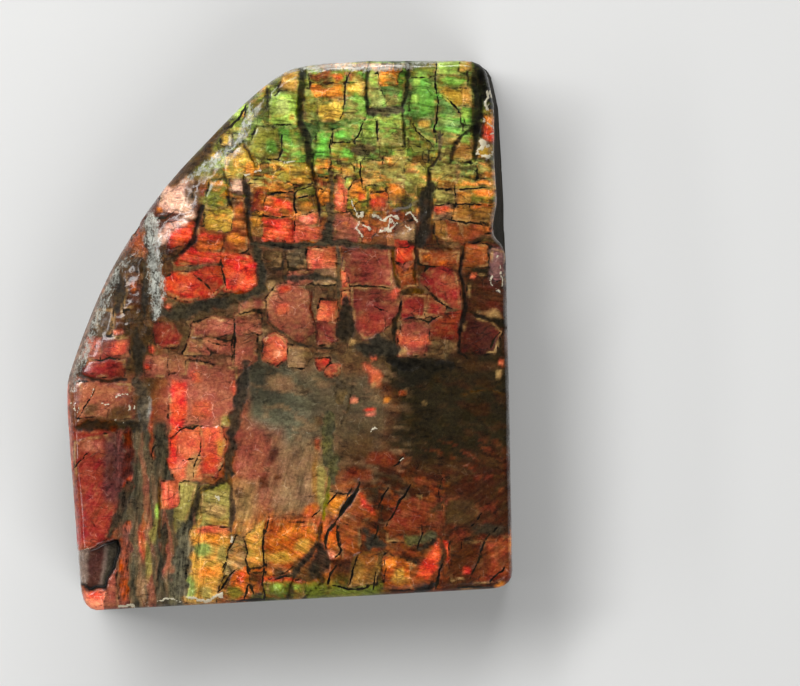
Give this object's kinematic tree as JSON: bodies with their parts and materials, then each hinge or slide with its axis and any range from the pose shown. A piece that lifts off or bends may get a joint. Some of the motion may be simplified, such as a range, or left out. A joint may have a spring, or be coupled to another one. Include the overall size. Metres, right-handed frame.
{
  "type": "ammolite specimen",
  "caption": "Slab of dark shale faced with cracked, iridescent fossil ammonite shell, sawn at three ends and worn round along one side.",
  "frame": {"origin": "middle of the slab's outline, on the plane of its sawn back", "axes": "+X across the slab towards its sawn long side, +Y along the slab towards its narrower end, +Z out of the polished shell face"},
  "size_m": [0.0456, 0.0562, 0.012],
  "materials": {
    "ammolite": "polished"
  },
  "bodies": {
    "root": {"ammolite_slab": "ammolite"}
  },
  "joints": []
}
